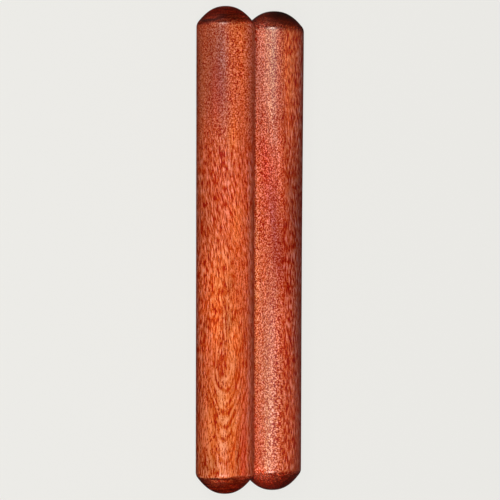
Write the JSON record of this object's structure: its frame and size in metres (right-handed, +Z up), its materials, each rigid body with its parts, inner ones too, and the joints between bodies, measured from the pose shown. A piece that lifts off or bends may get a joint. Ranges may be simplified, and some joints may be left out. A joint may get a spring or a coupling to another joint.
{
  "type": "claves",
  "caption": "Pair of solid turned hardwood claves, round sticks with low domed ends, lying side by side.",
  "frame": {"origin": "on the resting surface, at the middle of the pair's bounding box", "axes": "+Y along both sticks, +X from the left stick to the right one, +Z up from the surface they lie on"},
  "size_m": [0.0492, 0.2, 0.0248],
  "materials": {
    "left_wood": "open-pored red-orange hardwood under clear gloss lacquer",
    "right_wood": "open-pored red-brown hardwood under clear gloss lacquer"
  },
  "bodies": {
    "left_clave": {"left_clave": "left_wood"},
    "right_clave": {"right_clave": "right_wood"}
  },
  "joints": [
    {"name": "clave_strike", "type": "slide", "parent": "left_clave", "child": "right_clave", "axis": [1, 0, 0], "range_m": [0, 0.12]}
  ]
}
